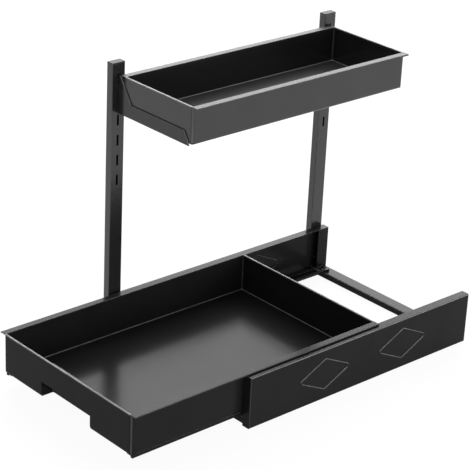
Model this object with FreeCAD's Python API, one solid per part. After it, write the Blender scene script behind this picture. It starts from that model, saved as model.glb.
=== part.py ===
import FreeCAD, Part
import math
import os

from FreeCAD import Vector

# Two-tier organizer for the cupboard under a sink: a low base frame with a pull-out drawer, and a
# narrower tray hooked on two slotted posts at the left. Millimetres, X to the right, Y to the rear,
# Z up. Pieces are drawn about the middle of the base frame's floor and saved about the middle of the
# floor under the whole object. The drawer is partly out.

# Side panels of the base frame
frame_width = 305.0
panel_length = 420.0
panel_height = 76.0
panel_flange = 13.5
panel_sheet = 1.2
panel_bend = 2.0
end_fold_length = 20.0
end_fold_clearance = 0.4

# Diamonds pressed outwards in the panels
diamond_length = 97.0
diamond_height = 46.5
diamond_spacing = 150.0
diamond_corner = 3.5
bead_width = 3.0
bead_rise = 1.0
bead_round = 0.95
groove_width = 1.8
groove_depth = 0.9

# Cross bars, rectangular tube
bar_width = 20.0
bar_height = 10.0
bar_wall = 1.2
bar_bend = 1.5
bar_clearance = 0.4
bar_screw_inset = 5.4

# Countersunk screws that hold the bars to the panels' lower flanges
bar_screw_radius = 2.0
bar_screw_head_radius = 3.8
bar_screw_head_height = 1.8
bar_screw_length = 7.0
bar_screw_recess = 0.1
bar_screw_clearance = 0.15
bar_screw_socket = 2.5
bar_screw_socket_depth = 1.2

# C rails that lie on the bars, open upwards
rail_side_gap = 2.0
rail_width = 17.0
rail_height = 3.8
rail_sheet = 0.8
rail_lip = 4.2
rail_front_gap = 2.0
rail_rear_gap = 12.0

# Rivets that hold the rails to the bars
rivet_radius = 1.5
rivet_head_radius = 2.6
rivet_head_height = 0.9
rivet_tail_height = 1.6
rivet_offset = 5.8

# Front rollers and their axles
roller_inset = 30.0
roller_radius = 4.4
roller_edge = 0.5
roller_side_clearance = 0.5
roller_window_clearance = 0.8
axle_radius = 1.0
axle_clearance = 0.05
axle_head_radius = 1.6
axle_head_length = 0.8

# Drawer
drawer_side_gap = 1.6
drawer_rear_gap = 0.5
drawer_lip_gap = 0.5
drawer_front_stand = 10.0
drawer_out = 186.5

# Folded pans: drawer and tray
pan_sheet = 1.2
pan_corner = 4.5
pan_fold = 3.0
hem_height = 5.0
rim_round = 0.5
lip_width = 8.0
lip_turn = 2.2
lip_bend = 1.2

# Finger pull in the drawer's front
pull_width = 106.0
pull_height = 22.5
pull_top_round = 2.5
pull_bottom_round = 6.0
pocket_depth = 19.0
pocket_height = 42.5
pocket_sheet = 1.2
pocket_corner = 2.5
pocket_edge = 2.5

# Runners and glides under the drawer
runner_width = 6.6
runner_thickness = 2.7
runner_clearance = 0.1
runner_front_inset = 3.5
runner_rear_inset = 4.0
runner_side_inset = 0.6
runner_leg = 3.8
runner_leg_clearance = 0.3
glide_length = 30.0
glide_rear_inset = 31.0
glide_clearance = 0.3
glide_side_clearance = 0.4
glide_edge = 0.5
glide_screw_radius = 1.5
glide_screw_head_radius = 2.8
glide_screw_head_height = 1.4
glide_screw_recess = 0.1
glide_screw_clearance = 0.15

# Stops in the rails
stop_length = 6.0
stop_clearance = 0.5
front_stop_inset = 100.5
plug_length = 2.0
plug_flange = 1.0

# Posts at the left panel
post_height = 418.4
post_depth = 22.0
post_thickness = 12.0
post_wall = 1.2
post_bend = 1.2
post_inset = 13.0
slot_count = 6
slot_pitch = 29.3
slot_length = 16.0
slot_width = 3.6
top_slot_drop = 24.0
cap_thickness = 1.5
cap_skirt = 8.0
cap_clearance = 0.2
cap_edge = 0.6

# Screws and nuts that hold the posts to the left panel
post_screw_radius = 2.0
post_screw_clearance = 0.2
post_screw_head_radius = 3.8
post_screw_head_height = 2.4
post_screw_head_edge = 0.8
post_screw_rise = 24.0
post_screw_drop = 18.0
post_screw_end = 1.0
post_screw_socket = 2.5
post_screw_socket_depth = 1.5
nut_across_flats = 7.0
nut_height = 3.2

# Hooked brackets
bracket_sheet = 1.5
bracket_tip_inset = 4.6
bracket_head = 5.3
bracket_arm = 19.0
bracket_top = 4.2
bracket_heel = 28.0
bracket_heel_round = 5.0
bracket_nose = 11.0
bracket_nose_round = 4.0
bracket_tip = 1.5
bracket_shelf = 12.0
hook_neck = 8.0
hook_drop = 5.0
hook_thickness = 2.4
hook_clearance = 0.3
hook_low = 10.8

# Upper tray
tray_width = 143.5
tray_height = 53.0
tray_post_gap = 2.0
tray_end_clearance = 0.3
tray_tab_height = 18.0

# Shared values of the construction
overrun = 1.0
tiny = 1e-6

pan_inner_corner = pan_corner - pan_sheet
pan_inner_fold = pan_fold - pan_sheet
hem_thickness = 2 * pan_sheet
hem_corner = pan_corner - hem_thickness
panel_outer = frame_width / 2
panel_inner = panel_outer - panel_sheet
flange_edge = panel_outer - panel_flange
panel_end = panel_length / 2
bar_bottom = panel_sheet
bar_top = bar_bottom + bar_height
bar_outer_end = panel_end - panel_sheet - bar_clearance
bar_middle = bar_outer_end - bar_width / 2
bar_half_length = panel_inner - bar_clearance
rivet_y = bar_middle - rivet_offset
rail_middle = flange_edge - rail_side_gap - rail_width / 2
rail_top = bar_top + rail_height
rail_floor = bar_top + rail_sheet
rail_front = -panel_end + rail_front_gap
rail_rear = panel_end - rail_rear_gap
slot_half = rail_width / 2 - rail_lip
roller_y = -panel_end + roller_inset
axle_z = bar_top + rail_height / 2
roller_half = slot_half - roller_side_clearance
runner_bottom = axle_z + roller_radius + runner_clearance
drawer_bottom = runner_bottom + runner_thickness
drawer_top = panel_height + drawer_lip_gap + lip_turn
drawer_half = flange_edge - drawer_side_gap
drawer_front = -panel_end - drawer_out
drawer_travel_in = drawer_out - drawer_front_stand
drawer_rear = panel_end - drawer_rear_gap - drawer_travel_in
glide_rear = drawer_rear - glide_rear_inset
glide_front = glide_rear - glide_length
glide_middle = (glide_front + glide_rear) / 2
front_stop = rail_front + front_stop_inset
rear_stop = glide_rear + drawer_travel_in + stop_clearance
glide_bottom = rail_floor + glide_clearance
glide_shoulder = rail_top - rail_sheet - glide_clearance
post_face = -panel_outer
post_back = post_face - post_thickness
post_y = panel_end - post_inset
post_screw_low = post_screw_rise
post_screw_high = panel_height - post_screw_drop
tube_height = post_height - cap_thickness
top_slot = post_height - top_slot_drop
bracket_length = tray_post_gap + lip_width + tray_width - bracket_tip_inset
bracket_height = hook_low + slot_pitch + hook_neck + bracket_head
bracket_bottom = top_slot - slot_pitch - slot_length / 2 - hook_low
tray_bottom = bracket_bottom + bracket_sheet
tray_top = tray_bottom + tray_height
tray_left = post_face + tray_post_gap + lip_width
tray_right = tray_left + tray_width
tray_end = post_y - bracket_sheet / 2 - tray_end_clearance
object_left = post_back - post_screw_head_height
object_right = panel_outer + bead_rise
to_origin = Vector(-(object_left + object_right) / 2, -(drawer_front + panel_end) / 2, 0)
ACROSS = Vector(1, 0, 0)
ALONG = Vector(0, 1, 0)
UP = Vector(0, 0, 1)


def box(x0, x1, y0, y1, z0, z1):
    """Block between two opposite corners."""
    return Part.makeBox(x1 - x0, y1 - y0, z1 - z0, Vector(x0, y0, z0))


def rod(radius, length, start, direction):
    """Cylinder from a start point along a direction."""
    return Part.makeCylinder(radius, length, start, direction)


def mirrored(shape):
    """The same shape on the other side of the middle plane."""
    return shape.mirror(Vector(0, 0, 0), ACROSS)


def same(values):
    """True when all the values are equal."""
    return max(values) - min(values) < tiny


def edges_where(shape, test):
    """Edges whose end points all satisfy the test, given as lists of X, Y and Z."""
    chosen = []
    for edge in shape.Edges:
        points = [vertex.Point for vertex in edge.Vertexes]
        if test([p.x for p in points], [p.y for p in points], [p.z for p in points]):
            chosen.append(edge)
    return chosen


def at(values, place):
    """True when all the values lie at the place."""
    return all(abs(value - place) < tiny for value in values)


def round_upright(shape, radius):
    """Round all the upright edges."""
    return shape.makeFillet(radius, edges_where(shape, lambda x, y, z: same(x) and same(y)))


def face_prism(points, push):
    """Solid between a closed outline and the same outline pushed along a vector."""
    wire = Part.makePolygon(points + points[:1])
    return Part.Face(wire).extrude(push)


def hexagon(across_flats, length, start, direction):
    """Six-sided bar from a start point along a direction."""
    sideways = ALONG if direction.isEqual(ACROSS, tiny) else ACROSS
    other = direction.cross(sideways)
    circle = across_flats / math.sqrt(3)
    corners = []
    for number in range(6):
        angle = math.radians(60 * number)
        corners.append(start + sideways * circle * math.cos(angle) + other * circle * math.sin(angle))
    return face_prism(corners, direction * length)


def tube(x0, x1, y0, y1, z0, z1, wall, bend, axis):
    """Rectangular tube along X or Z with rounded long edges."""
    outer = box(x0, x1, y0, y1, z0, z1)
    if axis == "x":
        long_edges = edges_where(outer, lambda x, y, z: same(y) and same(z))
        inner = box(x0 - overrun, x1 + overrun, y0 + wall, y1 - wall, z0 + wall, z1 - wall)
    else:
        long_edges = edges_where(outer, lambda x, y, z: same(x) and same(y))
        inner = box(x0 + wall, x1 - wall, y0 + wall, y1 - wall, z0 - overrun, z1 + overrun)
    return outer.makeFillet(bend, long_edges).cut(inner)


def diamond_ring(width, depth, middle):
    """Raised line of the diamond, lying in the panel's plane from its face outwards."""
    half_length = diamond_length / 2
    half_height = diamond_height / 2
    to_side = half_length * half_height / math.hypot(half_length, half_height)
    core_share = (to_side - diamond_corner) / to_side
    long_reach = half_length * core_share
    high_reach = half_height * core_share
    z = panel_height / 2
    corners = [
        Vector(panel_outer, middle - long_reach, z),
        Vector(panel_outer, middle, z - high_reach),
        Vector(panel_outer, middle + long_reach, z),
        Vector(panel_outer, middle, z + high_reach),
    ]
    core = Part.makePolygon(corners + corners[:1])
    outside = Part.Face(core.makeOffset2D(diamond_corner + width / 2)).extrude(ACROSS * depth)
    inside = Part.Face(core.makeOffset2D(diamond_corner - width / 2)).extrude(ACROSS * depth)
    return outside.cut(inside)


def side_panel():
    """Right side panel: folded sheet with flanges, end returns, end folds and pressed diamonds."""
    block = box(flange_edge, panel_outer, -panel_end, panel_end, 0, panel_height)
    rim = edges_where(block, lambda x, y, z: at(x, panel_outer))
    block = block.makeFillet(panel_bend, rim)
    hollow = box(
        flange_edge - overrun, panel_inner,
        -panel_end + panel_sheet, panel_end - panel_sheet,
        panel_sheet, panel_height - panel_sheet,
    )
    panel = block.cut(hollow)
    fold_bottom = bar_top + end_fold_clearance
    for start in (-panel_end, panel_end - end_fold_length):
        fold = box(
            flange_edge, flange_edge + panel_sheet,
            start, start + end_fold_length, fold_bottom, panel_height - panel_sheet,
        )
        panel = panel.fuse(fold)
    for middle in (-diamond_spacing / 2, diamond_spacing / 2):
        bead = diamond_ring(bead_width, bead_rise, middle)
        crest = edges_where(bead, lambda x, y, z: at(x, panel_outer + bead_rise))
        panel = panel.fuse(bead.makeFillet(bead_round, crest))
        groove = diamond_ring(groove_width, groove_depth + overrun, middle)
        groove.translate(-ACROSS * (panel_sheet + overrun))
        panel = panel.cut(groove)
    for y in (-bar_middle, bar_middle):
        panel = panel.cut(bar_screw_hole(y))
    return panel.removeSplitter()


def bar_screw(y, gap):
    """Countersunk screw at the right end of a bar, grown by a gap for its hole."""
    start = Vector(flange_edge + bar_screw_inset, y, bar_screw_recess)
    radius = bar_screw_radius + gap
    head = Part.makeCone(bar_screw_head_radius + gap, radius, bar_screw_head_height, start, UP)
    return head.fuse(rod(radius, bar_screw_length, start, UP)).removeSplitter()


def bar_screw_hole(y):
    """Countersunk hole for a bar screw, open at the floor."""
    mouth = Vector(flange_edge + bar_screw_inset, y, -overrun)
    opening = rod(bar_screw_head_radius + bar_screw_clearance, bar_screw_recess + overrun, mouth, UP)
    return bar_screw(y, bar_screw_clearance).fuse(opening)


def socket_screw(y):
    """Countersunk screw of a bar with a six-sided socket in its head."""
    mouth = Vector(flange_edge + bar_screw_inset, y, bar_screw_recess - overrun)
    return bar_screw(y, 0).cut(hexagon(bar_screw_socket, bar_screw_socket_depth + overrun, mouth, UP))


def cross_bar(side):
    """Rectangular tube between the panels at the front (-1) or the rear (1)."""
    y = side * bar_middle
    bar = tube(
        -bar_half_length, bar_half_length, y - bar_width / 2, y + bar_width / 2,
        bar_bottom, bar_top, bar_wall, bar_bend, "x",
    )
    screw_hole = bar_screw_hole(y)
    bar = bar.cut(screw_hole).cut(mirrored(screw_hole))
    rivet_hole = rod(rivet_radius, bar_wall + 2 * overrun,
                     Vector(rail_middle, side * rivet_y, bar_top + overrun), -UP)
    return bar.cut(rivet_hole).cut(mirrored(rivet_hole))


def rail():
    """Right rail: C section, open upwards, with a window and axle holes for the front roller."""
    x0 = rail_middle - rail_width / 2
    x1 = rail_middle + rail_width / 2
    section = box(x0, x1, rail_front, rail_rear, bar_top, rail_top)
    inside = box(
        x0 + rail_sheet, x1 - rail_sheet, rail_front - overrun, rail_rear + overrun,
        rail_floor, rail_top - rail_sheet,
    )
    slot = box(
        rail_middle - slot_half, rail_middle + slot_half, rail_front - overrun, rail_rear + overrun,
        rail_floor, rail_top + overrun,
    )
    half_window = roller_radius + roller_window_clearance
    window = box(
        rail_middle - slot_half, rail_middle + slot_half, roller_y - half_window, roller_y + half_window,
        bar_top - overrun, rail_top,
    )
    axle_hole = rod(axle_radius + axle_clearance, rail_width + 2 * overrun,
                    Vector(x0 - overrun, roller_y, axle_z), ACROSS)
    shape = section.cut(inside).cut(slot).cut(window).cut(axle_hole)
    for y in (-rivet_y, rivet_y):
        start = Vector(rail_middle, y, rail_floor + overrun)
        shape = shape.cut(rod(rivet_radius, rail_sheet + 2 * overrun, start, -UP))
    return shape


def rail_rivet(y):
    """Rivet of the right rail with its head on the rail's floor and its tail inside the bar."""
    shank_length = rail_sheet + bar_wall
    shank = rod(rivet_radius, shank_length, Vector(rail_middle, y, rail_floor), -UP)
    head = rod(rivet_head_radius, rivet_head_height, Vector(rail_middle, y, rail_floor), UP)
    crown = edges_where(head, lambda x, y, z: at(z, rail_floor + rivet_head_height))
    head = head.makeFillet(rivet_head_height / 2, crown)
    tail = rod(rivet_head_radius, rivet_tail_height, Vector(rail_middle, y, bar_top - bar_wall), -UP)
    return shank.fuse(head).fuse(tail).removeSplitter()


def roller():
    """Right front roller."""
    body = rod(roller_radius, 2 * roller_half, Vector(rail_middle - roller_half, roller_y, axle_z), ACROSS)
    body = body.makeFillet(roller_edge, edges_where(body, lambda x, y, z: same(x) and len(x) == 1))
    bore = rod(axle_radius + axle_clearance, 2 * roller_half + 2 * overrun,
               Vector(rail_middle - roller_half - overrun, roller_y, axle_z), ACROSS)
    return body.cut(bore)


def roller_axle():
    """Headed pin through the right rail's side walls."""
    x0 = rail_middle - rail_width / 2
    x1 = rail_middle + rail_width / 2
    pin = rod(axle_radius, rail_width, Vector(x0, roller_y, axle_z), ACROSS)
    inner_head = rod(axle_head_radius, axle_head_length, Vector(x0, roller_y, axle_z), -ACROSS)
    outer_head = rod(axle_head_radius, axle_head_length, Vector(x1, roller_y, axle_z), ACROSS)
    return pin.fuse(inner_head).fuse(outer_head).removeSplitter()


def rail_stop(start):
    """Rubber block in the right rail, one at each end of the glide's way."""
    half = rail_width / 2 - rail_sheet
    return box(rail_middle - half, rail_middle + half, start, start + stop_length,
               rail_floor, rail_top - rail_sheet)


def rail_end_plug():
    """Plug in the right rail's rear end, with a flange that covers the end."""
    half = rail_width / 2
    inner_half = half - rail_sheet
    core = box(rail_middle - inner_half, rail_middle + inner_half, rail_rear - plug_length, rail_rear,
               rail_floor, rail_top - rail_sheet)
    flange = box(rail_middle - half, rail_middle + half, rail_rear, rail_rear + plug_flange,
                 bar_top, rail_top)
    return core.fuse(flange).removeSplitter()


def rounded_block(x0, x1, y0, y1, z0, z1, corner, fold):
    """Block with rounded upright edges and a rounded bottom edge."""
    block = round_upright(box(x0, x1, y0, y1, z0, z1), corner)
    return block.makeFillet(fold, edges_where(block, lambda x, y, z: at(z, z0)))


def lip(edge, side, y0, y1, top):
    """Flat lip along a wall's top, turned down at its outer edge."""
    inner = edge - side * pan_corner
    outer = edge + side * lip_width
    turn = outer - side * pan_sheet
    outline = [
        Vector(inner, y0, top),
        Vector(outer, y0, top),
        Vector(outer, y0, top - lip_turn),
        Vector(turn, y0, top - lip_turn),
        Vector(turn, y0, top - pan_sheet),
        Vector(inner, y0, top - pan_sheet),
    ]
    shape = face_prism(outline, ALONG * (y1 - y0))
    return shape.makeFillet(lip_bend, edges_where(shape, lambda x, y, z: at(x, outer) and at(z, top)))


def pan(x0, x1, y0, y1, z0, z1):
    """Folded pan with a hem all round its mouth and lips on the two long sides."""
    shape = rounded_block(x0, x1, y0, y1, z0, z1, pan_corner, pan_fold)
    for edge, side in ((x0, -1), (x1, 1)):
        shape = shape.fuse(lip(edge, side, y0, y1, z1))
    hollow = rounded_block(
        x0 + pan_sheet, x1 - pan_sheet, y0 + pan_sheet, y1 - pan_sheet,
        z0 + pan_sheet, z1 - hem_height, pan_inner_corner, pan_inner_fold,
    )
    mouth = round_upright(box(
        x0 + hem_thickness, x1 - hem_thickness, y0 + hem_thickness, y1 - hem_thickness,
        z1 - hem_height, z1 + overrun,
    ), hem_corner)
    shape = shape.cut(hollow).cut(mouth).removeSplitter()
    rim = edges_where(shape, lambda x, y, z: at(z, z1) and min(x) > x0 - tiny and max(x) < x1 + tiny)
    ends = edges_where(shape, lambda x, y, z: at(z, z1) and (at(y, y0) or at(y, y1)))
    return shape.makeFillet(rim_round, rim + ends)


def pull_hollow(grow, front, height):
    """Space of the finger pull behind the front wall, with rounded rear corners."""
    half = pull_width / 2 + grow
    rear = drawer_front + pan_sheet + pocket_depth + grow
    block = box(-half, half, front, rear, drawer_bottom - overrun, drawer_bottom + height)
    corners = edges_where(block, lambda x, y, z: same(x) and at(y, rear))
    return block.makeFillet(pocket_corner + grow, corners)


def drawer_pan():
    """Drawer with the finger notch in its front wall and floor."""
    shape = pan(-drawer_half, drawer_half, drawer_front, drawer_rear, drawer_bottom, drawer_top)
    half = pull_width / 2
    front = drawer_front - overrun
    notch = box(-half, half, front, drawer_front + pan_sheet,
                drawer_bottom - overrun, drawer_bottom + pull_height)
    upper = edges_where(notch, lambda x, y, z: same(x) and at(z, drawer_bottom + pull_height))
    shape = shape.cut(notch.makeFillet(pull_top_round, upper))
    for side in (-1, 1):
        near = side * half
        far = side * (half + pull_bottom_round)
        corner = box(min(near, far), max(near, far), front, drawer_front + pan_sheet,
                     drawer_bottom - overrun, drawer_bottom + pull_bottom_round)
        keep = rod(pull_bottom_round, pan_sheet + 2 * overrun,
                   Vector(far, front, drawer_bottom + pull_bottom_round), ALONG)
        shape = shape.cut(corner.cut(keep))
    return shape.cut(pull_hollow(0, drawer_front, pan_sheet + pan_inner_fold))


def drawer_pull_pocket():
    """Box over the finger pull, standing on the drawer's floor against its front wall."""
    wall_face = drawer_front + pan_sheet
    outer = pull_hollow(pocket_sheet, wall_face, pocket_height + pocket_sheet)
    top = drawer_bottom + pocket_height + pocket_sheet
    rim = edges_where(outer, lambda x, y, z: at(z, top) and not at(y, wall_face))
    outer = outer.makeFillet(pocket_edge, rim)
    inner = pull_hollow(0, wall_face - overrun, pocket_height)
    floor = box(-drawer_half, drawer_half, drawer_front, drawer_rear, drawer_bottom - 2 * overrun,
                drawer_bottom + pan_sheet)
    fold = box(-drawer_half, drawer_half, drawer_front, wall_face + pan_inner_fold, drawer_bottom,
               drawer_bottom + pan_sheet + pan_inner_fold)
    return outer.cut(inner).cut(floor).cut(fold)


def runner():
    """Right runner: strip that rolls on the front roller, with a leg outside along the rail's lip."""
    inner = rail_middle - runner_width / 2
    outer = drawer_half - runner_side_inset
    front = drawer_front + runner_front_inset
    rear = drawer_rear - runner_rear_inset
    strip = box(inner, outer, front, rear, runner_bottom, drawer_bottom)
    leg = box(outer - runner_leg, outer, front, rear, rail_top + runner_leg_clearance, drawer_bottom)
    strip = strip.fuse(leg).removeSplitter()
    hole = rod(glide_screw_radius, runner_thickness + 2 * overrun,
               Vector(rail_middle, glide_middle, runner_bottom - overrun), UP)
    return strip.cut(hole)


def glide_screw(gap):
    """Countersunk screw from the right glide's underside into the runner, grown by a gap for its hole."""
    start = Vector(rail_middle, glide_middle, glide_bottom + glide_screw_recess)
    radius = glide_screw_radius + gap
    head = Part.makeCone(glide_screw_head_radius + gap, radius, glide_screw_head_height, start, UP)
    return head.fuse(rod(radius, drawer_bottom - start.z, start, UP)).removeSplitter()


def glide():
    """Right glide: nylon shoe under the rail's lips with a neck up to the runner."""
    half = rail_width / 2 - rail_sheet - glide_side_clearance
    neck = slot_half - glide_side_clearance
    shoe = round_upright(
        box(rail_middle - half, rail_middle + half, glide_front, glide_rear, glide_bottom, glide_shoulder),
        glide_edge,
    )
    stem = box(rail_middle - neck, rail_middle + neck, glide_front, glide_rear, glide_shoulder, runner_bottom)
    mouth = Vector(rail_middle, glide_middle, glide_bottom - overrun)
    opening = rod(glide_screw_head_radius + glide_screw_clearance, glide_screw_recess + overrun, mouth, UP)
    hole = glide_screw(glide_screw_clearance).fuse(opening)
    return shoe.fuse(stem).cut(hole).removeSplitter()


def slot_heights():
    """Heights of the middles of a post's slots, from the top one down."""
    return [top_slot - number * slot_pitch for number in range(slot_count)]


def post(side):
    """Slotted tube at the front (-1) or the rear (1) of the left panel."""
    y = side * post_y
    shape = tube(
        post_back, post_face, y - post_depth / 2, y + post_depth / 2, 0, tube_height,
        post_wall, post_bend, "z",
    )
    for height in slot_heights():
        shape = shape.cut(box(
            post_face - post_wall - overrun, post_face + overrun,
            y - slot_width / 2, y + slot_width / 2,
            height - slot_length / 2, height + slot_length / 2,
        ))
    for height in (post_screw_low, post_screw_high):
        shape = shape.cut(post_screw_hole(y, height))
    return shape


def post_cap(side):
    """Plug in a post's top."""
    y = side * post_y
    half = post_depth / 2
    inset = post_wall + cap_clearance
    plate = box(post_back, post_face, y - half, y + half, tube_height, post_height)
    plate = round_upright(plate, post_bend)
    plate = plate.makeFillet(cap_edge, edges_where(plate, lambda x, y, z: at(z, post_height)))
    skirt = box(post_back + inset, post_face - inset, y - half + inset, y + half - inset,
                tube_height - cap_skirt, tube_height)
    return plate.fuse(skirt).removeSplitter()


def post_screw_hole(y, height):
    """Clear hole through the post and the left panel."""
    reach = post_thickness + panel_sheet + 2 * overrun
    start = Vector(post_back - overrun, y, height)
    return rod(post_screw_radius + post_screw_clearance, reach, start, ACROSS)


def post_screw(y, height):
    """Pan-head screw through a post into the nut behind the left panel."""
    start = Vector(post_back, y, height)
    length = post_thickness + panel_sheet + nut_height + post_screw_end
    head = rod(post_screw_head_radius, post_screw_head_height, start, -ACROSS)
    face = post_back - post_screw_head_height
    head = head.makeFillet(post_screw_head_edge, edges_where(head, lambda x, y, z: at(x, face)))
    screw = head.fuse(rod(post_screw_radius, length, start, ACROSS)).removeSplitter()
    mouth = Vector(face - overrun, y, height)
    return screw.cut(hexagon(post_screw_socket, post_screw_socket_depth + overrun, mouth, ACROSS))


def post_nut(y, height):
    """Hexagon nut on the left panel's inner face."""
    face = post_face + panel_sheet
    nut = hexagon(nut_across_flats, nut_height, Vector(face, y, height), ACROSS)
    return nut.cut(rod(post_screw_radius + post_screw_clearance, nut_height + 2 * overrun,
                       Vector(face - overrun, y, height), ACROSS))


def arc_corner(before, corner, after, radius):
    """Start, middle and end of the arc that rounds a corner between two straight lines."""
    towards_before = (before - corner).normalize()
    towards_after = (after - corner).normalize()
    half_angle = towards_before.getAngle(towards_after) / 2
    reach = radius / math.tan(half_angle)
    bisector = (towards_before + towards_after).normalize()
    depth = radius / math.sin(half_angle) - radius
    return corner + towards_before * reach, corner + bisector * depth, corner + towards_after * reach


def bracket_outline(y):
    """Outline of a bracket's plate, from the post's face to the tray's right side."""
    def point(along, up):
        return Vector(post_face + along, y, bracket_bottom + up)

    heel = point(bracket_heel, bracket_arm)
    brow = point(bracket_length - bracket_nose, bracket_arm)
    top = point(bracket_top, bracket_height)
    tip = point(bracket_length, bracket_tip)
    heel_start, heel_middle, heel_end = arc_corner(top, heel, brow, bracket_heel_round)
    brow_start, brow_middle, brow_end = arc_corner(heel, brow, tip, bracket_nose_round)
    edges = [
        Part.LineSegment(point(0, 0), point(0, bracket_height)),
        Part.LineSegment(point(0, bracket_height), top),
        Part.LineSegment(top, heel_start),
        Part.Arc(heel_start, heel_middle, heel_end),
        Part.LineSegment(heel_end, brow_start),
        Part.Arc(brow_start, brow_middle, brow_end),
        Part.LineSegment(brow_end, tip),
        Part.LineSegment(tip, point(bracket_length, 0)),
        Part.LineSegment(point(bracket_length, 0), point(0, 0)),
    ]
    return Part.Wire([edge.toShape() for edge in edges])


def bracket(side):
    """Hooked plate beside the tray's front (-1) or rear (1) end, with a shelf under the tray."""
    outer_face = side * (post_y + bracket_sheet / 2)
    shape = Part.Face(bracket_outline(outer_face)).extrude(ALONG * (-side * bracket_sheet))
    inner_face = side * (post_y - bracket_sheet / 2)
    shelf_edge = side * (post_y - bracket_sheet / 2 - bracket_shelf)
    shape = shape.fuse(box(
        tray_left, post_face + bracket_length - bracket_nose,
        min(inner_face, shelf_edge), max(inner_face, shelf_edge),
        bracket_bottom, bracket_bottom + bracket_sheet,
    ))
    inner_wall = post_face - post_wall
    for number in range(2):
        seat = top_slot - number * slot_pitch - slot_length / 2
        low = min(outer_face, inner_face)
        high = max(outer_face, inner_face)
        neck = box(inner_wall - hook_clearance - hook_thickness, post_face, low, high, seat, seat + hook_neck)
        claw = box(inner_wall - hook_clearance - hook_thickness, inner_wall - hook_clearance, low, high,
                   seat - hook_drop, seat)
        shape = shape.fuse(neck).fuse(claw)
    return shape.removeSplitter()


def upper_tray():
    """Tray that stands on the brackets' shelves, with tabs of the end walls under the left lip."""
    shape = pan(tray_left, tray_right, -tray_end, tray_end, tray_bottom, tray_top)
    inner = tray_left + pan_corner
    outer = tray_left - lip_width + pan_sheet
    under = tray_top - rim_round
    for start in (-tray_end, tray_end - pan_sheet):
        tab = face_prism([
            Vector(inner, start, under),
            Vector(outer, start, under),
            Vector(outer, start, tray_top - lip_turn),
            Vector(inner, start, tray_top - tray_tab_height),
        ], ALONG * pan_sheet)
        shape = shape.fuse(tab)
    return shape.removeSplitter()


def left_side_panel():
    """Mirror of the right panel with the holes for the posts' screws."""
    shape = mirrored(side_panel())
    for y in (-post_y, post_y):
        for height in (post_screw_low, post_screw_high):
            shape = shape.cut(post_screw_hole(y, height))
    return shape


def pair(shape):
    """A right-hand piece and its mirror as two separate solids."""
    return [shape, mirrored(shape)]


def post_places():
    """Y and Z of each post screw."""
    return [(y, height) for y in (-post_y, post_y) for height in (post_screw_low, post_screw_high)]


def save(name, solids):
    """Write one node, as one solid or as a group of separate solids."""
    shape = solids[0] if len(solids) == 1 else Part.makeCompound(solids)
    shape.translate(to_origin)
    shape.exportStep("parts/" + name + ".step")


os.makedirs("parts", exist_ok=True)
save("left_side_panel", [left_side_panel()])
save("right_side_panel", [side_panel()])
save("front_cross_bar", [cross_bar(-1)])
save("rear_cross_bar", [cross_bar(1)])
save("bar_screws", pair(socket_screw(-bar_middle)) + pair(socket_screw(bar_middle)))
save("left_rail", [mirrored(rail())])
save("right_rail", [rail()])
save("rail_rivets", pair(rail_rivet(-rivet_y)) + pair(rail_rivet(rivet_y)))
save("left_roller", [mirrored(roller())])
save("right_roller", [roller()])
save("roller_axles", pair(roller_axle()))
save("rail_stops", pair(rail_stop(front_stop)) + pair(rail_stop(rear_stop)))
save("rail_end_plugs", pair(rail_end_plug()))
save("drawer_pan", [drawer_pan()])
save("drawer_pull_pocket", [drawer_pull_pocket()])
save("left_runner", [mirrored(runner())])
save("right_runner", [runner()])
save("left_glide", [mirrored(glide())])
save("right_glide", [glide()])
save("glide_screws", pair(glide_screw(0)))
save("front_post", [post(-1)])
save("rear_post", [post(1)])
save("front_post_cap", [post_cap(-1)])
save("rear_post_cap", [post_cap(1)])
save("post_screws", [post_screw(y, height) for y, height in post_places()])
save("post_nuts", [post_nut(y, height) for y, height in post_places()])
save("front_bracket", [bracket(-1)])
save("rear_bracket", [bracket(1)])
save("upper_tray", [upper_tray()])
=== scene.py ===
import math

import bmesh
import bpy
from mathutils import Matrix, Vector


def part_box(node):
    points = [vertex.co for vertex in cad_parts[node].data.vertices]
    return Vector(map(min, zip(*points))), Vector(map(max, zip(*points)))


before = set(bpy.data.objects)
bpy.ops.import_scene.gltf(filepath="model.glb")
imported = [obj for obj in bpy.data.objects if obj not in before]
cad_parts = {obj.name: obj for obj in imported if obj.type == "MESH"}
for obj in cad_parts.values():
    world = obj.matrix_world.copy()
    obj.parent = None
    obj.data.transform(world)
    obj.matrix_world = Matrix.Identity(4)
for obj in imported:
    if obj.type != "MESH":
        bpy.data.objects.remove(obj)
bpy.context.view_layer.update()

bl_info = {
    "name": "Under-Sink Organizer",
    "version": (1, 0, 0),
    "blender": (4, 5, 0),
    "location": "View3D > Sidebar > Organizer",
    "description": "Finishes of a tiered under-sink organizer and a pale studio around it",
    "category": "Object",
}

# Limits of the noise values that the finishes spread out
NOISE_LOW = 0.3
NOISE_HIGH = 0.7

# Powder coat, with sizes and depths in metres
COAT_CLOUD = 0.06
# Size of the blotches that vary the strength of the painted highlights
COAT_HIGHLIGHT_BLOTCH = 0.012
COAT_GRAIN_DEPTH = 0.00006
COAT_GRAIN_STRENGTH = 0.25
COAT_GLOSS_SPREAD = 0.03
COAT_TONE_SPREAD = 0.10
# Weakest share of the painted highlights on edges, folds and rims, which the blotches vary
LEAST_HIGHLIGHT = 0.6

# Painted highlights on edges, by the rounded normal: its largest part falls from square to turned at
# an edge, and its upward part tells undersides, sideways edges and upward edges apart, undersides
# getting no painted highlight
SQUARE = 0.94
TURNED = 0.78
UNDERSIDE = -0.3
SIDEWAYS = 0.05
UPWARDS = 0.5
SIDEWAYS_HIGHLIGHT = 0.25

# Faces that lie level, by the upward part of their normal
SLANTED = 0.5
LEVEL = 0.95

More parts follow.
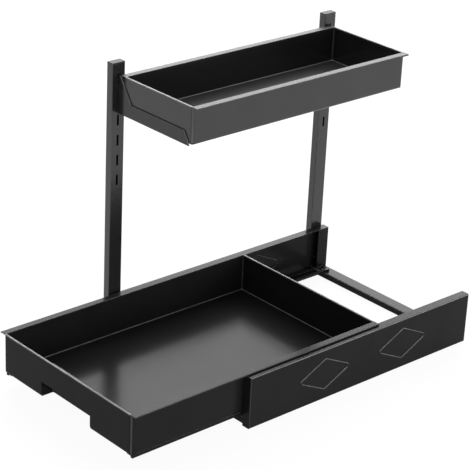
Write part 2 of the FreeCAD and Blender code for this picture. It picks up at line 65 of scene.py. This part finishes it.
# Moulded pieces, with sizes and depths in metres
MOULD_CLOUD = 0.02
MOULD_TONE_SPREAD = 0.06
MOULD_GLOSS_SPREAD = 0.05
MOULD_GRAIN_DEPTH = 0.00005
MOULD_GRAIN_STRENGTH = 0.3
CAPS = {"roughness": 0.60, "specular": 0.3, "grain_size": 0.0006}
ROLLERS = {"roughness": 0.40, "specular": 0.5, "grain_size": 0.0008}
STOPS = {"roughness": 0.75, "specular": 0.3, "grain_size": 0.0005}

# Fasteners, with sizes and depths in metres
STEEL_CLOUD = 0.004
STEEL_MARKS = 0.0004
STEEL_TONE_SPREAD = 0.15
STEEL_SMOOTHEST = 0.28
STEEL_ROUGHEST = 0.42
STEEL_MARK_DEPTH = 0.00002
STEEL_MARK_STRENGTH = 0.2

# Stage, in metres, and the camera's sensor in millimetres
REAR_PANEL = {"size": (4.2, 1.9), "place": (-2.2, 2.05, 2.72), "towards": (-0.05, 0.05, 0.2)}
LOW_PANEL = {"size": (1.6, 0.4), "place": (-0.95, 0.9, 0.45), "towards": (-0.05, 0.05, 0.1)}
OVERHEAD_PANEL = {"size": (1.6, 1.6), "place": (-0.3, 0.2, 2.2), "towards": (0.0, 0.0, 0.1)}
SIDE_PANEL = {"size": (1.6, 0.5), "place": (2.2, 0.5, 0.4), "towards": (0.1, 0.1, 0.15)}
FLOOR_DROP = 0.0002
FARTHEST_VIEW = 50.0
SENSOR_WIDTH = 36.0


class OrganizerCoats(bpy.types.PropertyGroup):
    """Colours and surface of the painted, plastic and metal pieces."""

    base_coat: bpy.props.FloatVectorProperty(
        name="Base coat", description="Black powder coat of the frame and the drawer",
        subtype="COLOR", size=3, min=0.0, max=1.0, default=(0.0135, 0.0135, 0.0138))
    upper_coat: bpy.props.FloatVectorProperty(
        name="Upper coat", description="Black powder coat of the posts, the brackets and the tray",
        subtype="COLOR", size=3, min=0.0, max=1.0, default=(0.017, 0.017, 0.0174))
    coat_roughness: bpy.props.FloatProperty(
        name="Coat roughness", description="Middle roughness of the powder coat",
        min=0.05, max=1.0, default=0.20)
    base_specular: bpy.props.FloatProperty(
        name="Base gloss", description="Specular level of the frame's and the drawer's coat",
        min=0.0, max=1.0, default=0.045)
    tray_specular: bpy.props.FloatProperty(
        name="Tray gloss", description="Specular level of the tray's coat",
        min=0.0, max=1.0, default=0.53)
    post_specular: bpy.props.FloatProperty(
        name="Post gloss", description="Specular level of the posts' coat",
        min=0.0, max=1.0, default=0.58)
    bracket_specular: bpy.props.FloatProperty(
        name="Bracket gloss", description="Specular level of the brackets' coat",
        min=0.0, max=1.0, default=0.36)
    grain_size: bpy.props.FloatProperty(
        name="Coat grain", description="Size of the powder coat's fine grain",
        subtype="DISTANCE", unit="LENGTH", min=0.0001, max=0.01, default=0.0009)
    top_roughness: bpy.props.FloatProperty(
        name="Top roughness", description="Roughness of the upper pieces' level faces, dulled by dust",
        min=0.05, max=1.0, default=0.57)
    # Bend wear is a painted highlight: a paler colour along the folds and rolled edges
    painted_bend_highlight: bpy.props.FloatVectorProperty(
        name="Bend wear", description="Thin, paler coat along the folds and rolled edges",
        subtype="COLOR", size=3, min=0.0, max=1.0, default=(0.28, 0.28, 0.28))
    # The wear width is the reach of the painted highlights beside an edge
    highlight_width: bpy.props.FloatProperty(
        name="Wear width", description="Reach of the wear beside an edge",
        subtype="DISTANCE", unit="LENGTH", min=0.0001, max=0.01, default=0.0008)
    # The lip width also bounds the painted highlights along the rims
    lip_width: bpy.props.FloatProperty(
        name="Lip width", description="Width of the pans' lips and folds, where the rims' wear ends",
        subtype="DISTANCE", unit="LENGTH", min=0.001, max=0.05, default=0.0110)
    plastic: bpy.props.FloatVectorProperty(
        name="Plastic", description="Black moulded plastic of the caps and plugs",
        subtype="COLOR", size=3, min=0.0, max=1.0, default=(0.02, 0.02, 0.021))
    nylon: bpy.props.FloatVectorProperty(
        name="Nylon", description="Pale nylon of the rollers and glides",
        subtype="COLOR", size=3, min=0.0, max=1.0, default=(0.62, 0.61, 0.58))
    rubber: bpy.props.FloatVectorProperty(
        name="Rubber", description="Rubber of the stops",
        subtype="COLOR", size=3, min=0.0, max=1.0, default=(0.018, 0.018, 0.018))
    steel: bpy.props.FloatVectorProperty(
        name="Fastener steel", description="Dark oxide finish of the screws, nuts, rivets and axles",
        subtype="COLOR", size=3, min=0.0, max=1.0, default=(0.12, 0.12, 0.125))


class OrganizerStudio(bpy.types.PropertyGroup):
    """Floor, lamps and camera."""

    floor_colour: bpy.props.FloatVectorProperty(
        name="Floor", description="Colour of the floor",
        subtype="COLOR", size=3, min=0.0, max=1.0, default=(0.92, 0.92, 0.92))
    floor_glow: bpy.props.FloatProperty(
        name="Floor white share", description="Share of plain white in the floor that the camera sees",
        min=0.0, max=1.0, default=0.95)
    floor_size: bpy.props.FloatProperty(
        name="Floor size", description="Length of the floor's sides",
        subtype="DISTANCE", unit="LENGTH", default=16.0)
    sky: bpy.props.FloatProperty(
        name="Room light", description="Strength of the even light of the room", default=0.45)
    rear_power: bpy.props.FloatProperty(
        name="Rear panel", description="Power of the large panel behind the object",
        subtype="POWER", unit="POWER", default=245.0)
    low_power: bpy.props.FloatProperty(
        name="Low rear panel", description="Power of the low panel behind the object",
        subtype="POWER", unit="POWER", default=12.0)
    top_power: bpy.props.FloatProperty(
        name="Overhead panel", description="Power of the panel above the object",
        subtype="POWER", unit="POWER", default=12.0)
    side_power: bpy.props.FloatProperty(
        name="Side panel", description="Power of the low panel at the open side",
        subtype="POWER", unit="POWER", default=24.0)
    azimuth: bpy.props.FloatProperty(
        name="Camera azimuth", description="Turn of the view to the left of the rear direction",
        subtype="ANGLE", unit="ROTATION", default=math.radians(47.549))
    elevation: bpy.props.FloatProperty(
        name="Camera elevation", description="Height of the camera over the object, as an angle",
        subtype="ANGLE", unit="ROTATION", default=math.radians(24.218))
    roll: bpy.props.FloatProperty(
        name="Camera roll", description="Turn of the picture about the viewing direction",
        subtype="ANGLE", unit="ROTATION", default=math.radians(-2.737))
    lens: bpy.props.FloatProperty(
        name="Lens", description="Focal length in millimetres", default=140.32)
    distance: bpy.props.FloatProperty(
        name="Camera distance", description="Distance from the camera to its target",
        subtype="DISTANCE", unit="LENGTH", default=2.6125)
    target: bpy.props.FloatVectorProperty(
        name="Camera target", description="Point in the middle of the picture",
        subtype="TRANSLATION", unit="LENGTH", size=3, default=(-0.07774, 0.05869, 0.1470))


def new_material(name):
    """An empty node material with its shader and the piece's own coordinates."""
    material = bpy.data.materials.new(name)
    material.use_nodes = True
    tree = material.node_tree
    shader = tree.nodes["Principled BSDF"]
    place = tree.nodes.new("ShaderNodeTexCoord")
    return material, tree, shader, place.outputs["Object"]


def noise(tree, place, size, detail):
    """Noise with features of the given size in metres."""
    node = tree.nodes.new("ShaderNodeTexNoise")
    node.inputs["Scale"].default_value = 1.0 / size
    node.inputs["Detail"].default_value = detail
    tree.links.new(place, node.inputs["Vector"])
    return node.outputs["Fac"]


def ranged(tree, value, low, high):
    """A noise value spread between two limits."""
    node = tree.nodes.new("ShaderNodeMapRange")
    node.inputs["From Min"].default_value = NOISE_LOW
    node.inputs["From Max"].default_value = NOISE_HIGH
    node.inputs["To Min"].default_value = low
    node.inputs["To Max"].default_value = high
    tree.links.new(value, node.inputs["Value"])
    return node.outputs["Result"]


def opaque(colour, share=1.0):
    """A colour, made darker or paler by a share, with full cover."""
    return [part * share for part in colour] + [1.0]


def mottled(tree, value, colour, spread):
    """A colour that varies a little about its middle value."""
    node = tree.nodes.new("ShaderNodeValToRGB")
    darker, paler = node.color_ramp.elements
    darker.position = NOISE_LOW
    paler.position = NOISE_HIGH
    darker.color = opaque(colour, 1.0 - spread)
    paler.color = opaque(colour, 1.0 + spread)
    tree.links.new(value, node.inputs["Fac"])
    return node.outputs["Color"]


def bumped(tree, value, depth, strength):
    """A fine relief of the given depth in metres."""
    node = tree.nodes.new("ShaderNodeBump")
    node.inputs["Distance"].default_value = depth
    node.inputs["Strength"].default_value = strength
    tree.links.new(value, node.inputs["Height"])
    return node.outputs["Normal"]


def limited(tree, value, start, end):
    """Nought at the start, one at the end, with a soft change between them."""
    node = tree.nodes.new("ShaderNodeMapRange")
    node.interpolation_type = "SMOOTHSTEP"
    node.inputs["From Min"].default_value = start
    node.inputs["From Max"].default_value = end
    tree.links.new(value, node.inputs["Value"])
    return node.outputs["Result"]


def joined(tree, operation, first, second):
    """Two values joined by an operation."""
    node = tree.nodes.new("ShaderNodeMath")
    node.operation = operation
    tree.links.new(first, node.inputs[0])
    tree.links.new(second, node.inputs[1])
    return node.outputs["Value"]


def bends(tree, radius):
    """Share of painted highlight on edges and folds, where the rounded normal leaves the axes, most
    facing up.
    """
    rounded = tree.nodes.new("ShaderNodeBevel")
    rounded.inputs["Radius"].default_value = radius
    signed = tree.nodes.new("ShaderNodeSeparateXYZ")
    tree.links.new(rounded.outputs["Normal"], signed.inputs["Vector"])
    size = tree.nodes.new("ShaderNodeVectorMath")
    size.operation = "ABSOLUTE"
    tree.links.new(rounded.outputs["Normal"], size.inputs[0])
    plain = tree.nodes.new("ShaderNodeSeparateXYZ")
    tree.links.new(size.outputs["Vector"], plain.inputs["Vector"])
    level = joined(tree, "MAXIMUM", plain.outputs["X"], plain.outputs["Y"])
    squareness = joined(tree, "MAXIMUM", level, plain.outputs["Z"])
    turned = limited(tree, squareness, SQUARE, TURNED)
    # Painted highlight: none on undersides, less on sideways edges, full on upward edges
    upright = limited(tree, signed.outputs["Z"], UNDERSIDE, 0.0)
    raised = limited(tree, signed.outputs["Z"], SIDEWAYS, UPWARDS)
    facing = tree.nodes.new("ShaderNodeMapRange")
    facing.inputs["To Min"].default_value = SIDEWAYS_HIGHLIGHT
    tree.links.new(raised, facing.inputs["Value"])
    exposed = joined(tree, "MULTIPLY", upright, facing.outputs["Result"])
    return joined(tree, "MULTIPLY", turned, exposed)


def rims(tree, place, pan, coats):
    """Share of painted highlight along the top edges of a pan's short walls, between the lips on its
    long sides.
    """
    lowest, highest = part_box(pan)
    top = highest[2]
    reach = coats.highlight_width
    left = lowest[0] + coats.lip_width
    right = highest[0] - coats.lip_width
    split = tree.nodes.new("ShaderNodeSeparateXYZ")
    tree.links.new(place, split.inputs["Vector"])
    high = limited(tree, split.outputs["Z"], top - 2 * reach, top - reach)
    past_left = limited(tree, split.outputs["X"], left - reach, left + reach)
    past_right = limited(tree, split.outputs["X"], right + reach, right - reach)
    between = joined(tree, "MULTIPLY", past_left, past_right)
    return joined(tree, "MULTIPLY", high, between)


def hems(tree, place, pan, coats):
    """Nought on the upright outer faces of a pan's lips, which get no painted highlight, one
    elsewhere.
    """
    lowest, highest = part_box(pan)
    reach = coats.highlight_width
    split = tree.nodes.new("ShaderNodeSeparateXYZ")
    tree.links.new(place, split.inputs["Vector"])
    from_left = limited(tree, split.outputs["X"], lowest[0], lowest[0] + reach)
    from_right = limited(tree, split.outputs["X"], highest[0], highest[0] - reach)
    own = tree.nodes.new("ShaderNodeSeparateXYZ")
    tree.links.new(place.node.outputs["Normal"], own.inputs["Vector"])
    upper = limited(tree, own.outputs["Z"], SLANTED, LEVEL)
    between = joined(tree, "MULTIPLY", from_left, from_right)
    return joined(tree, "MAXIMUM", upper, between)


def with_painted_highlight(tree, share, fresh, painted_highlight):
    """A coat's colour, changed towards the painted highlight colour by the share."""
    node = tree.nodes.new("ShaderNodeMix")
    node.data_type = "RGBA"
    node.inputs["B"].default_value = opaque(painted_highlight)
    tree.links.new(share, node.inputs["Factor"])
    tree.links.new(fresh, node.inputs["A"])
    return node.outputs["Result"]


def dulled(tree, place, gloss, top):
    """A roughness, changed to another one on the faces that lie level and face up."""
    split = tree.nodes.new("ShaderNodeSeparateXYZ")
    tree.links.new(place.node.outputs["Normal"], split.inputs["Vector"])
    node = tree.nodes.new("ShaderNodeMix")
    node.data_type = "FLOAT"
    node.inputs["B"].default_value = top
    tree.links.new(limited(tree, split.outputs["Z"], SLANTED, LEVEL), node.inputs["Factor"])
    tree.links.new(gloss, node.inputs["A"])
    return node.outputs["Result"]


def powder_coat(name, colour, specular, top, coats, pan=None):
    """Satin black powder coat with fine grain, uneven gloss and tone, and painted highlights on folds
    and rims.
    """
    material, tree, shader, place = new_material(name)
    cloud = noise(tree, place, COAT_CLOUD, detail=3.0)
    grain = noise(tree, place, coats.grain_size, detail=2.0)
    highlight_blotch = noise(tree, place, COAT_HIGHLIGHT_BLOTCH, detail=2.0)
    # Painted highlights: a paler coat on edges, folds and rims, varied by blotches
    highlight_places = bends(tree, coats.highlight_width)
    if pan:
        highlight_places = joined(tree, "MULTIPLY", highlight_places, hems(tree, place, pan, coats))
        highlight_places = joined(tree, "MAXIMUM", highlight_places, rims(tree, place, pan, coats))
    painted_highlight = joined(tree, "MULTIPLY", highlight_places, ranged(tree, highlight_blotch, LEAST_HIGHLIGHT, 1.0))
    tone = with_painted_highlight(tree, painted_highlight, mottled(tree, cloud, colour, COAT_TONE_SPREAD), coats.painted_bend_highlight)
    tree.links.new(tone, shader.inputs["Base Color"])
    smoothest = coats.coat_roughness - COAT_GLOSS_SPREAD
    roughest = coats.coat_roughness + COAT_GLOSS_SPREAD
    gloss = dulled(tree, place, ranged(tree, cloud, smoothest, roughest), top)
    tree.links.new(gloss, shader.inputs["Roughness"])
    relief = bumped(tree, grain, COAT_GRAIN_DEPTH, COAT_GRAIN_STRENGTH)
    tree.links.new(relief, shader.inputs["Normal"])
    shader.inputs["Specular IOR Level"].default_value = specular
    return material


def moulded(name, colour, roughness, specular, grain_size):
    """Moulded plastic or rubber with a fine matt grain."""
    material, tree, shader, place = new_material(name)
    cloud = noise(tree, place, MOULD_CLOUD, detail=2.0)
    grain = noise(tree, place, grain_size, detail=3.0)
    tree.links.new(mottled(tree, cloud, colour, MOULD_TONE_SPREAD), shader.inputs["Base Color"])
    smoothest = roughness - MOULD_GLOSS_SPREAD
    roughest = roughness + MOULD_GLOSS_SPREAD
    tree.links.new(ranged(tree, grain, smoothest, roughest), shader.inputs["Roughness"])
    relief = bumped(tree, grain, MOULD_GRAIN_DEPTH, MOULD_GRAIN_STRENGTH)
    tree.links.new(relief, shader.inputs["Normal"])
    shader.inputs["Specular IOR Level"].default_value = specular
    return material


def oxide_steel(name, colour):
    """Dark oxide steel of the fasteners with fine turning marks."""
    material, tree, shader, place = new_material(name)
    cloud = noise(tree, place, STEEL_CLOUD, detail=3.0)
    marks = noise(tree, place, STEEL_MARKS, detail=1.0)
    tree.links.new(mottled(tree, cloud, colour, STEEL_TONE_SPREAD), shader.inputs["Base Color"])
    tree.links.new(ranged(tree, marks, STEEL_SMOOTHEST, STEEL_ROUGHEST), shader.inputs["Roughness"])
    relief = bumped(tree, marks, STEEL_MARK_DEPTH, STEEL_MARK_STRENGTH)
    tree.links.new(relief, shader.inputs["Normal"])
    shader.inputs["Metallic"].default_value = 1.0
    return material


def shared_material(name, make):
    """The material of that name, made on its first use."""
    return bpy.data.materials.get(name) or make()


def base_coat(name, coats, pan=None):
    """Powder coat of the frame or the drawer."""
    return shared_material(name, lambda: powder_coat(
        name, coats.base_coat, coats.base_specular, coats.coat_roughness, coats, pan))


def upper_coat(name, specular, coats, pan=None):
    """Powder coat of the posts, the brackets or the tray."""
    return shared_material(name, lambda: powder_coat(
        name, coats.upper_coat, specular, coats.top_roughness, coats, pan))


def cap_plastic(coats):
    """Black plastic of the caps and plugs."""
    return shared_material("moulded_caps", lambda: moulded("moulded_caps", coats.plastic, **CAPS))


def roller_nylon(coats):
    """Pale nylon of the rollers and glides."""
    return shared_material("moulded_nylon", lambda: moulded("moulded_nylon", coats.nylon, **ROLLERS))


def stop_rubber(coats):
    """Rubber of the stops."""
    return shared_material("moulded_rubber", lambda: moulded("moulded_rubber", coats.rubber, **STOPS))


def fastener_steel(coats):
    """Dark steel of the fasteners."""
    return shared_material("oxide_fasteners", lambda: oxide_steel("oxide_fasteners", coats.steel))


def finish(names, material):
    """Give the solids of these names their material."""
    for name in names:
        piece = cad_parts[name]
        piece.data.materials.clear()
        piece.data.materials.append(material)


class ORGANIZER_OT_side_panels(bpy.types.Operator):
    """Coat the two folded side panels"""

    bl_idname = "organizer.side_panels"
    bl_label = "Side Panels"

    def execute(self, context):
        coats = context.scene.organizer_coats
        finish(["left_side_panel", "right_side_panel"], base_coat("base_coat", coats))
        return {"FINISHED"}


class ORGANIZER_OT_cross_bars(bpy.types.Operator):
    """Coat the two cross bars"""

    bl_idname = "organizer.cross_bars"
    bl_label = "Cross Bars"

    def execute(self, context):
        coats = context.scene.organizer_coats
        finish(["front_cross_bar", "rear_cross_bar"], base_coat("base_coat", coats))
        return {"FINISHED"}


class ORGANIZER_OT_rails(bpy.types.Operator):
    """Coat the rails and the runners, and finish their stops and plugs"""

    bl_idname = "organizer.rails"
    bl_label = "Rails and Runners"

    def execute(self, context):
        coats = context.scene.organizer_coats
        names = ["left_rail", "right_rail", "left_runner", "right_runner"]
        finish(names, base_coat("base_coat", coats))
        finish(["rail_stops"], stop_rubber(coats))
        finish(["rail_end_plugs"], cap_plastic(coats))
        return {"FINISHED"}


class ORGANIZER_OT_rollers(bpy.types.Operator):
    """Finish the nylon rollers and glides"""

    bl_idname = "organizer.rollers"
    bl_label = "Rollers and Glides"

    def execute(self, context):
        nylon = roller_nylon(context.scene.organizer_coats)
        finish(["left_roller", "right_roller", "left_glide", "right_glide"], nylon)
        return {"FINISHED"}


class ORGANIZER_OT_posts(bpy.types.Operator):
    """Coat the slotted posts and finish their caps"""

    bl_idname = "organizer.posts"
    bl_label = "Posts"

    def execute(self, context):
        coats = context.scene.organizer_coats
        finish(["front_post", "rear_post"], upper_coat("post_coat", coats.post_specular, coats))
        finish(["front_post_cap", "rear_post_cap"], cap_plastic(coats))
        return {"FINISHED"}


class ORGANIZER_OT_brackets(bpy.types.Operator):
    """Coat the hooked brackets"""

    bl_idname = "organizer.brackets"
    bl_label = "Brackets"

    def execute(self, context):
        coats = context.scene.organizer_coats
        coat = upper_coat("bracket_coat", coats.bracket_specular, coats)
        finish(["front_bracket", "rear_bracket"], coat)
        return {"FINISHED"}


class ORGANIZER_OT_drawer(bpy.types.Operator):
    """Coat the drawer and its finger pull"""

    bl_idname = "organizer.drawer"
    bl_label = "Drawer"

    def execute(self, context):
        coats = context.scene.organizer_coats
        finish(["drawer_pan"], base_coat("drawer_coat", coats, "drawer_pan"))
        finish(["drawer_pull_pocket"], base_coat("base_coat", coats))
        return {"FINISHED"}


class ORGANIZER_OT_tray(bpy.types.Operator):
    """Coat the upper tray"""

    bl_idname = "organizer.tray"
    bl_label = "Upper Tray"

    def execute(self, context):
        coats = context.scene.organizer_coats
        coat = upper_coat("tray_coat", coats.tray_specular, coats, "upper_tray")
        finish(["upper_tray"], coat)
        return {"FINISHED"}


class ORGANIZER_OT_fasteners(bpy.types.Operator):
    """Finish the screws, nuts, rivets and axles"""

    bl_idname = "organizer.fasteners"
    bl_label = "Fasteners"

    def execute(self, context):
        screws = ["bar_screws", "glide_screws", "post_screws", "post_nuts"]
        names = screws + ["rail_rivets", "roller_axles"]
        finish(names, fastener_steel(context.scene.organizer_coats))
        return {"FINISHED"}


def plainly_seen(tree):
    """One for rays from the camera, in gloss or through a clear piece, nought for falling light."""
    path = tree.nodes.new("ShaderNodeLightPath")
    seen = joined(tree, "MAXIMUM", path.outputs["Is Camera Ray"], path.outputs["Is Glossy Ray"])
    return joined(tree, "MAXIMUM", seen, path.outputs["Is Transmission Ray"])


def floor_material(studio):
    """Pale floor that looks nearly white to the camera and in gloss, and still takes the shadow."""
    material = bpy.data.materials.new("floor_white")
    material.use_nodes = True
    tree = material.node_tree
    tree.nodes.clear()
    output = tree.nodes.new("ShaderNodeOutputMaterial")
    mix = tree.nodes.new("ShaderNodeMixShader")
    plain = tree.nodes.new("ShaderNodeBsdfDiffuse")
    plain.inputs["Color"].default_value = opaque(studio.floor_colour)
    white = tree.nodes.new("ShaderNodeEmission")
    share = tree.nodes.new("ShaderNodeMapRange")
    share.inputs["To Max"].default_value = studio.floor_glow
    tree.links.new(plainly_seen(tree), share.inputs["Value"])
    tree.links.new(share.outputs["Result"], mix.inputs["Fac"])
    tree.links.new(plain.outputs[0], mix.inputs[1])
    tree.links.new(white.outputs[0], mix.inputs[2])
    tree.links.new(mix.outputs[0], output.inputs["Surface"])
    return material


def area_lamp(name, power, size, place, towards):
    """Rectangular soft lamp at a place, turned towards a point."""
    lamp = bpy.data.lights.new(name, "AREA")
    lamp.shape = "RECTANGLE"
    lamp.size, lamp.size_y = size
    lamp.energy = power
    holder = bpy.data.objects.new(name, lamp)
    bpy.context.scene.collection.objects.link(holder)
    facing = (Vector(towards) - Vector(place)).to_track_quat("-Z", "Y")
    holder.matrix_world = Matrix.Translation(place) @ facing.to_matrix().to_4x4()


class ORGANIZER_OT_stage(bpy.types.Operator):
    """Set the floor, the lamps, the room light and the camera"""

    bl_idname = "organizer.stage"
    bl_label = "Stage"

    def execute(self, context):
        scene = context.scene
        studio = scene.organizer_studio
        scene.view_settings.view_transform = "Standard"
        mesh = bpy.data.meshes.new("floor")
        shape = bmesh.new()
        bmesh.ops.create_grid(shape, x_segments=1, y_segments=1, size=studio.floor_size / 2)
        shape.to_mesh(mesh)
        shape.free()
        mesh.materials.append(floor_material(studio))
        floor = bpy.data.objects.new("floor", mesh)
        scene.collection.objects.link(floor)
        floor.location.z = -FLOOR_DROP

        world = bpy.data.worlds.new("room")
        world.use_nodes = True
        tree = world.node_tree
        room = tree.nodes["Background"]
        room.inputs["Color"].default_value = (1.0, 1.0, 1.0, 1.0)
        brightness = tree.nodes.new("ShaderNodeMapRange")
        far_floor = studio.floor_colour[0] * studio.sky
        seen_white = studio.floor_glow + (1.0 - studio.floor_glow) * far_floor
        brightness.inputs["To Min"].default_value = studio.sky
        brightness.inputs["To Max"].default_value = seen_white
        tree.links.new(plainly_seen(tree), brightness.inputs["Value"])
        tree.links.new(brightness.outputs["Result"], room.inputs["Strength"])
        scene.world = world

        area_lamp("rear_panel", studio.rear_power, **REAR_PANEL)
        area_lamp("low_panel", studio.low_power, **LOW_PANEL)
        area_lamp("overhead_panel", studio.top_power, **OVERHEAD_PANEL)
        area_lamp("side_panel", studio.side_power, **SIDE_PANEL)

        turn, rise, roll = studio.azimuth, studio.elevation, studio.roll
        level = math.cos(rise)
        back = Vector((math.sin(turn) * level, -math.cos(turn) * level, math.sin(rise)))
        right = Vector((math.cos(turn), math.sin(turn), 0.0))
        up = back.cross(right)
        side = math.cos(roll) * right - math.sin(roll) * up
        top = math.sin(roll) * right + math.cos(roll) * up
        camera_data = bpy.data.cameras.new("camera")
        camera_data.lens = studio.lens
        camera_data.sensor_width = SENSOR_WIDTH
        camera_data.clip_end = FARTHEST_VIEW
        camera = bpy.data.objects.new("camera", camera_data)
        scene.collection.objects.link(camera)
        place = Vector(studio.target) + back * studio.distance
        camera.matrix_world = Matrix((
            (side.x, top.x, back.x, place.x),
            (side.y, top.y, back.y, place.y),
            (side.z, top.z, back.z, place.z),
            (0.0, 0.0, 0.0, 1.0),
        ))
        scene.camera = camera
        return {"FINISHED"}


OPERATORS = (
    ORGANIZER_OT_side_panels,
    ORGANIZER_OT_cross_bars,
    ORGANIZER_OT_rails,
    ORGANIZER_OT_rollers,
    ORGANIZER_OT_posts,
    ORGANIZER_OT_brackets,
    ORGANIZER_OT_drawer,
    ORGANIZER_OT_tray,
    ORGANIZER_OT_fasteners,
    ORGANIZER_OT_stage,
)


class ORGANIZER_PT_sidebar(bpy.types.Panel):
    """Pieces and stage of the organizer"""

    bl_label = "Organizer"
    bl_idname = "ORGANIZER_PT_sidebar"
    bl_space_type = "VIEW_3D"
    bl_region_type = "UI"
    bl_category = "Organizer"

    def draw(self, context):
        for operator in OPERATORS:
            self.layout.operator(operator.bl_idname)


CLASSES = (OrganizerCoats, OrganizerStudio) + OPERATORS + (ORGANIZER_PT_sidebar,)


def register():
    for item in CLASSES:
        bpy.utils.register_class(item)
    bpy.types.Scene.organizer_coats = bpy.props.PointerProperty(type=OrganizerCoats)
    bpy.types.Scene.organizer_studio = bpy.props.PointerProperty(type=OrganizerStudio)


def unregister():
    del bpy.types.Scene.organizer_studio
    del bpy.types.Scene.organizer_coats
    for item in reversed(CLASSES):
        bpy.utils.unregister_class(item)


def main():
    register()
    bpy.ops.organizer.side_panels()
    bpy.ops.organizer.cross_bars()
    bpy.ops.organizer.rails()
    bpy.ops.organizer.rollers()
    bpy.ops.organizer.posts()
    bpy.ops.organizer.brackets()
    bpy.ops.organizer.drawer()
    bpy.ops.organizer.tray()
    bpy.ops.organizer.fasteners()
    bpy.ops.organizer.stage()


if __name__ == "__main__":
    main()
